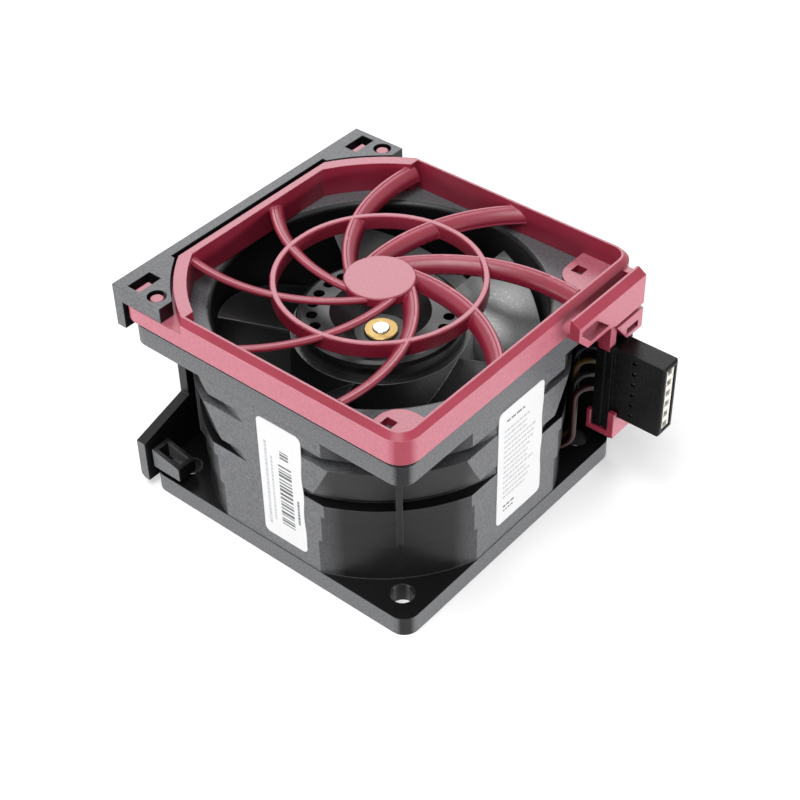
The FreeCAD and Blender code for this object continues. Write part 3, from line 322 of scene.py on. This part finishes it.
def makeBoard():
    # fibreglass laminate under green solder mask: darker fields of copper with paler gaps
    material, tree, spot, shader = newMaterial("solderMaskLaminate")
    tracks = addNode(tree, "ShaderNodeTexVoronoi", {"feature": "DISTANCE_TO_EDGE",
                     "Scale": perMetre(boardMask["trackSpacing"])}, {"Vector": spot})
    least, full = boardMask["trackEdge"]
    mask = addNode(tree, "ShaderNodeMapRange", {"From Min": least, "From Max": full},
                   {"Value": tracks.outputs["Distance"]})
    tone = blendColours(tree, mask.outputs["Result"], boardMask["bare"], boardMask["covered"])
    relief = addNode(tree, "ShaderNodeBump", {"Strength": 0.5, "Distance": boardMask["depth"]},
                     {"Height": mask.outputs["Result"]})
    shader.inputs["Roughness"].default_value = boardMask["roughness"]
    tree.links.new(tone.outputs["Color"], shader.inputs["Base Color"])
    tree.links.new(relief.outputs["Normal"], shader.inputs["Normal"])
    return material


mottledFinish = {"index": 1.5, "glossPlay": 0.05, "reliefDepth": 0.00002}


def makeMottled(name, base, tint, rough, size, bump):
    # an even material with a slight mottle and a fine surface relief, both of one size in
    # millimetres
    material, tree, spot, shader = newMaterial(name)
    shader.inputs["IOR"].default_value = mottledFinish["index"]
    mottle = addNode(tree, "ShaderNodeTexNoise", {"Scale": perMetre(size), "Detail": 3.0},
                     {"Vector": spot})
    tone = blendColours(tree, mottle.outputs["Fac"], base, tint)
    play = mottledFinish["glossPlay"]
    gloss = addNode(tree, "ShaderNodeMapRange", {"To Min": rough - play, "To Max": rough + play},
                    {"Value": mottle.outputs["Fac"]})
    relief = addNode(tree, "ShaderNodeBump", {"Strength": bump,
                     "Distance": mottledFinish["reliefDepth"]}, {"Height": mottle.outputs["Fac"]})
    tree.links.new(tone.outputs["Color"], shader.inputs["Base Color"])
    tree.links.new(gloss.outputs["Result"], shader.inputs["Roughness"])
    tree.links.new(relief.outputs["Normal"], shader.inputs["Normal"])
    return material


boardLaminate = makeBoard()
# transfer-moulded epoxy of chips: matt charcoal
chipEpoxy = makeMottled("transferMouldedEpoxy", "#1B1B1D", "#26262A", 0.5, 0.3, 0.3)
# plastic-bonded ferrite: dark, faintly grainy
bondedFerrite = makeMottled("bondedFerrite", "#2C2C2F", "#3A3A3E", 0.55, 0.25, 0.5)
# extruded PVC insulation: smooth, softly shining colour; the red, yellow and blue ones are painted
# far darker than their own colour, as painted shade
shadedRedPvc = makeMottled("pvcInsulationRedShaded", "#240605", "#300A08", 0.3, 0.8, 0.1)
blackPvc = makeMottled("pvcInsulationBlack", "#111112", "#1C1C1E", 0.3, 0.8, 0.1)
shadedYellowPvc = makeMottled("pvcInsulationYellowShaded", "#463414", "#5A441C", 0.3, 0.8, 0.1)
shadedBluePvc = makeMottled("pvcInsulationBlueShaded", "#080E20", "#0C152C", 0.3, 0.8, 0.1)
# coated polyester film of the labels: clean white, slightly satin
labelFilm = makeMottled("coatedPolyesterFilm", "#D8D8D9", "#DFDFE0", 0.38, 1.2, 0.1)
# thermal-transfer ink: flat grey-black
printInk = makeMottled("thermalTransferInk", "#4E5052", "#6E7072", 0.6, 0.4, 0.1)
# thin ink of the small rows: pale grey, half lost in the white
faintInk = makeMottled("thinTransferInk", "#ACADAF", "#BEBFC0", 0.6, 0.4, 0.1)
print("board, lead and label materials made")

finishes = {
    "fan_frame": blackPbt, "inlet_guard": winePlastic, "handle_plate": blackPbt,
    "connector_housing": connectorNylon, "contact_insert": carrierPbt,
    "connector_contacts": tinPlate, "side_label_front": labelFilm,
    "side_label_right": labelFilm, "bearing_tube": turnedBrass,
    "bearing_upper_outer": groundSteel, "bearing_lower_outer": groundSteel,
    "stator_core": laminatedSteel, "stator_insulator_upper": bobbinNylon,
    "stator_insulator_lower": bobbinNylon, "stator_windings": copperWire,
    "circuit_board": boardLaminate, "board_parts": chipEpoxy, "lead_power": shadedRedPvc,
    "lead_ground": blackPvc, "lead_tach": shadedYellowPvc, "lead_pwm": shadedBluePvc,
    "impeller": impellerPbt, "rotor_yoke": coatedSteel, "rotor_magnet": bondedFerrite,
    "shaft": groundSteel, "brass_bushing": turnedBrass, "bearing_upper_inner": groundSteel,
    "bearing_lower_inner": groundSteel, "preload_spring": springWire,
    "retaining_clip": springWire,
}
for name, material in finishes.items():
    nodes[name].data.materials.clear()
    nodes[name].data.materials.append(material)
print("finishes given to", len(finishes), "nodes")

# the labels are white sheets with bars and dashes that hold no code and no words
labelSheet = {
    "cornerRadius": 0.0011, "cornerSteps": 6,
    "waveDepth": 0.00016, "waveCount": 2.5, "waveSteps": 24,  # one long edge isn't straight
    "inkHeight": 0.000012,
    "dashGap": 0.6,  # gap after a dash, as a share of the shortest one
    "seed": 11,
}
chance = np.random.default_rng(labelSheet["seed"])


def outlineSheet(width, height):
    # quarter circles at the corners, counter-clockwise from the top right, then the wavy edge:
    # the width plus a sine that fades out at both ends, less a bow of half a sine
    radius = labelSheet["cornerRadius"]
    quarter = np.linspace(0.0, math.pi / 2, labelSheet["cornerSteps"])
    ring = []
    for turn, (u, v) in enumerate(((width - radius, height - radius), (radius, height - radius),
                                   (radius, radius), (width - radius, radius))):
        angle = quarter + turn * math.pi / 2
        ring.append(np.stack([u + radius * np.cos(angle), v + radius * np.sin(angle)], axis=1))
    share = np.linspace(0.0, 1.0, labelSheet["waveSteps"])[1:-1]
    bend = np.sin(share * math.pi * 2 * labelSheet["waveCount"]) * np.sin(share * math.pi)
    ring.append(np.stack([width + labelSheet["waveDepth"] * (bend - np.sin(share * math.pi)),
                          radius + share * (height - 2 * radius)], axis=1))
    return np.concatenate(ring)


def outlineBar(left, right, low, high):
    # the four corners of a bar, counter-clockwise, from millimetres to metres
    return np.array([[left, low], [right, low], [right, high], [left, high]]) / 1000.0


def makeSheets(name, node, rings, low, high, material):
    # closed flat prisms on the outer side of a label node, from low to high above its back:
    # each ring of u across and v up is laid down twice, at high and at low, and walls join them
    corner, far = (np.array(c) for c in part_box(node))
    front = far[1] - corner[1] < far[0] - corner[0]
    points, faces, start = [], [], 0
    for ring in rings:
        count = len(ring)
        u, v = np.tile(ring, (2, 1)).T
        height = np.repeat([high, low], count)
        points.append(np.stack([corner[0] + u, far[1] - height, corner[2] + v] if front
                               else [corner[0] + height, corner[1] + u, corner[2] + v], axis=1))
        outer = np.arange(start, start + count)
        inner = outer + count
        walls = np.stack([outer, inner, np.roll(inner, -1), np.roll(outer, -1)], axis=1)
        faces += [outer.tolist(), inner[::-1].tolist()] + walls.tolist()
        start += 2 * count
    mesh = bpy.data.meshes.new(name)
    mesh.from_pydata(np.concatenate(points).tolist(), [], faces)
    mesh.materials.append(material)
    piece = bpy.data.objects.new(name, mesh)
    bpy.context.scene.collection.objects.link(piece)
    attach(piece, "housing")
    return piece


def stackBars(left, right, low, high, thin, thick):
    # bars with heights and gaps between thin and thick, one above the other, in millimetres
    bars = []
    while low < high:
        step = chance.uniform(thin, thick)
        bars.append(outlineBar(left, right, low, low + step))
        low += step + chance.uniform(thin, thick)
    return bars


def dashRow(left, right, low, height, shortest, longest, upright=False):
    # a broken line of dashes from left to right, or from bottom to top, in millimetres
    dashes = []
    while left < right - shortest:
        end = min(left + chance.uniform(shortest, longest), right)
        dashes.append(outlineBar(low, low + height, left, end) if upright
                      else outlineBar(left, end, low, low + height))
        left = end + shortest * labelSheet["dashGap"]
    return dashes


def makeLabel(name, node, darkMarks, faintMarks):
    # the sheet takes the label node's place, and its ink stands a hair above it
    corner, far = (np.array(c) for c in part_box(node))
    size = far - corner
    width, thickness = max(size[0], size[1]), min(size[0], size[1])
    sheet = makeSheets(name, node, [outlineSheet(width, size[2])], 0.0, thickness, labelFilm)
    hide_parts(node)
    ink = labelSheet["inkHeight"]
    for suffix, marks, material in (("Bars", darkMarks, printInk),
                                    ("Dashes", faintMarks, faintInk)):
        makeSheets(name + suffix, node, marks, thickness - ink, thickness + ink, material)


frontPrint = {
    # left, right, low, high, thinnest and thickest of each block of bars
    "bars": [(4.3, 7.2, 4.0, 17.8, 0.18, 0.62), (4.8, 6.7, 19.2, 21.0, 0.2, 0.5)],
    # begin, end, place across, height, shortest and longest dash of each upright row
    "darkRows": [(6.0, 11.5, 8.1, 0.45, 0.25, 0.7)],
    "faintRows": [(2.5, 21.5, 1.3, 0.55, 0.3, 0.9), (4.0, 19.0, 2.6, 0.4, 0.3, 0.8)],
}
rightPrint = {
    "textLow": 5.6, "textHigh": 21.6, "textStep": 1.15, "textLeft": 1.6,
    "textEnds": (7.5, 11.0), "textHeight": 0.42, "textDashes": (0.3, 1.1),
    # left, right, low, height, shortest and longest dash of each row
    "darkRows": [(2.2, 7.4, 22.6, 0.4, 0.5, 1.4), (1.8, 5.4, 3.4, 0.4, 0.5, 1.4),
                 (1.8, 4.8, 2.5, 0.3, 0.4, 1.0)],
}


def printFront():
    # the front label's dark bars and row, and its faint rows
    dark, faint = [], []
    for block in frontPrint["bars"]:
        dark += stackBars(*block)
    for row in frontPrint["darkRows"]:
        dark += dashRow(*row, upright=True)
    for row in frontPrint["faintRows"]:
        faint += dashRow(*row, upright=True)
    return dark, faint


def printRight():
    # the right label's dark rows, and a block of faint rows that end unevenly
    dark, faint = [], []
    for low in np.arange(rightPrint["textLow"], rightPrint["textHigh"], rightPrint["textStep"]):
        faint += dashRow(rightPrint["textLeft"], chance.uniform(*rightPrint["textEnds"]), low,
                         rightPrint["textHeight"], *rightPrint["textDashes"])
    for row in rightPrint["darkRows"]:
        dark += dashRow(*row)
    return dark, faint


makeLabel("frontLabel", "side_label_front", *printFront())
makeLabel("rightLabel", "side_label_right", *printRight())
print("labels made")

view = {
    "azimuth": 40.601, "elevation": 40.750, "roll": -1.203,  # degrees
    "distance": 0.311941, "shiftRight": 0.0027234, "shiftUp": 0.0123826,
    "focal": 75.92, "sensorWidth": 36.0, "nearest": 0.01,
}


def placeCamera():
    # the camera looks along minus back; right and up are turned about back by the roll
    az, el, roll = (math.radians(view[k]) for k in ("azimuth", "elevation", "roll"))
    back = np.array([math.sin(az) * math.cos(el), -math.cos(az) * math.cos(el), math.sin(el)])
    right = np.cross([0.0, 0.0, 1.0], back)
    right /= np.linalg.norm(right)
    up = np.cross(back, right)
    right, up = (math.cos(roll) * right + math.sin(roll) * up,
                 math.cos(roll) * up - math.sin(roll) * right)
    spot = view["shiftRight"] * right + view["shiftUp"] * up + view["distance"] * back
    data = bpy.data.cameras.new("viewCamera")
    data.lens = view["focal"]
    data.sensor_width = view["sensorWidth"]
    data.clip_start = view["nearest"]
    camera = bpy.data.objects.new("viewCamera", data)
    matrix = np.eye(4)
    matrix[:3, 0], matrix[:3, 1], matrix[:3, 2], matrix[:3, 3] = right, up, back, spot
    camera.matrix_world = Matrix(matrix.tolist())
    bpy.context.scene.collection.objects.link(camera)
    bpy.context.scene.camera = camera


studio = {
    "floorSize": 6.0, "floorColour": "#F4F4F4", "floorRoughness": 0.9,
    "floorGap": 0.00003,   # the floor lies this far under the object
    "floorGlow": 0.25,     # lifts the floor to white for the eye alone
    "worldLight": 0.18,
    "aimHeight": 0.02,     # the softboxes stand around a point at this height
}
softboxes = [
    # name, direction from the object, distance, width, height, strength in W
    ("overheadSoftbox", (0.02, -0.25, 0.95), 0.60, 0.28, 0.20, 1.2),
    ("topFrontSoftbox", (0.22, -0.50, 0.84), 0.60, 0.40, 0.28, 1.5),
    ("topBackSoftbox", (-0.49, 0.58, 0.65), 0.70, 0.42, 0.42, 1.5),
    ("lowLeftSoftbox", (-0.35, -0.93, 0.04), 0.55, 0.50, 0.16, 2.2),
    ("lowRightSoftbox", (0.95, 0.20, 0.04), 0.55, 0.50, 0.16, 2.9),
]


def markSeenRays(tree):
    # 1 for what is seen directly, in a gloss or through clear material, 0 for what only lights
    path = addNode(tree, "ShaderNodeLightPath")
    seen = addNode(tree, "ShaderNodeMath", {"operation": "MAXIMUM"},
                   {0: path.outputs["Is Camera Ray"], 1: path.outputs["Is Glossy Ray"]})
    shown = addNode(tree, "ShaderNodeMath", {"operation": "MAXIMUM"},
                    {0: seen.outputs["Value"], 1: path.outputs["Is Transmission Ray"]})
    return shown.outputs["Value"]


def placeStudio():
    # a world and a floor that look white but light little, and softboxes that face the object
    scene = bpy.context.scene
    scene.view_settings.view_transform = "Standard"
    world = bpy.data.worlds.new("studioWorld")
    scene.world = world
    world.use_nodes = True
    tree = world.node_tree
    tree.nodes.clear()
    level = addNode(tree, "ShaderNodeMapRange", {"To Min": studio["worldLight"], "To Max": 1.0},
                    {"Value": markSeenRays(tree)})
    glow = addNode(tree, "ShaderNodeBackground", {"Color": hexToLinear("#FFFFFF")},
                   {"Strength": level.outputs["Result"]})
    addNode(tree, "ShaderNodeOutputWorld", None, {"Surface": glow.outputs["Background"]})

    half = studio["floorSize"] / 2
    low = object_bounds()[0][2] - studio["floorGap"]
    mesh = bpy.data.meshes.new("studioFloor")
    mesh.from_pydata([(-half, -half, low), (half, -half, low), (half, half, low),
                      (-half, half, low)], [], [(0, 1, 2, 3)])
    floor = bpy.data.objects.new("studioFloor", mesh)
    scene.collection.objects.link(floor)
    material, tree, spot, shader = newMaterial("paleStudioPaper")
    shader.inputs["Base Color"].default_value = hexToLinear(studio["floorColour"])
    shader.inputs["Roughness"].default_value = studio["floorRoughness"]
    shader.inputs["Emission Color"].default_value = hexToLinear("#FFFFFF")
    lift = addNode(tree, "ShaderNodeMath", {"operation": "MULTIPLY", 1: studio["floorGlow"]},
                   {0: markSeenRays(tree)})
    tree.links.new(lift.outputs["Value"], shader.inputs["Emission Strength"])
    mesh.materials.append(material)

    for name, direction, distance, width, height, power in softboxes:
        lamp = bpy.data.lights.new(name, "AREA")
        lamp.shape = "RECTANGLE"
        lamp.size = width
        lamp.size_y = height
        lamp.energy = power
        box = bpy.data.objects.new(name, lamp)
        away = np.array(direction) / np.linalg.norm(direction)
        side = np.cross([0.0, 0.0, 1.0], away)
        side /= np.linalg.norm(side)
        matrix = np.eye(4)
        matrix[:3, 0], matrix[:3, 1] = side, np.cross(away, side)
        matrix[:3, 2] = away
        matrix[:3, 3] = away * distance + np.array([0, 0, studio["aimHeight"]])
        box.matrix_world = Matrix(matrix.tolist())
        scene.collection.objects.link(box)


placeCamera()
placeStudio()
print("camera, floor and softboxes placed")
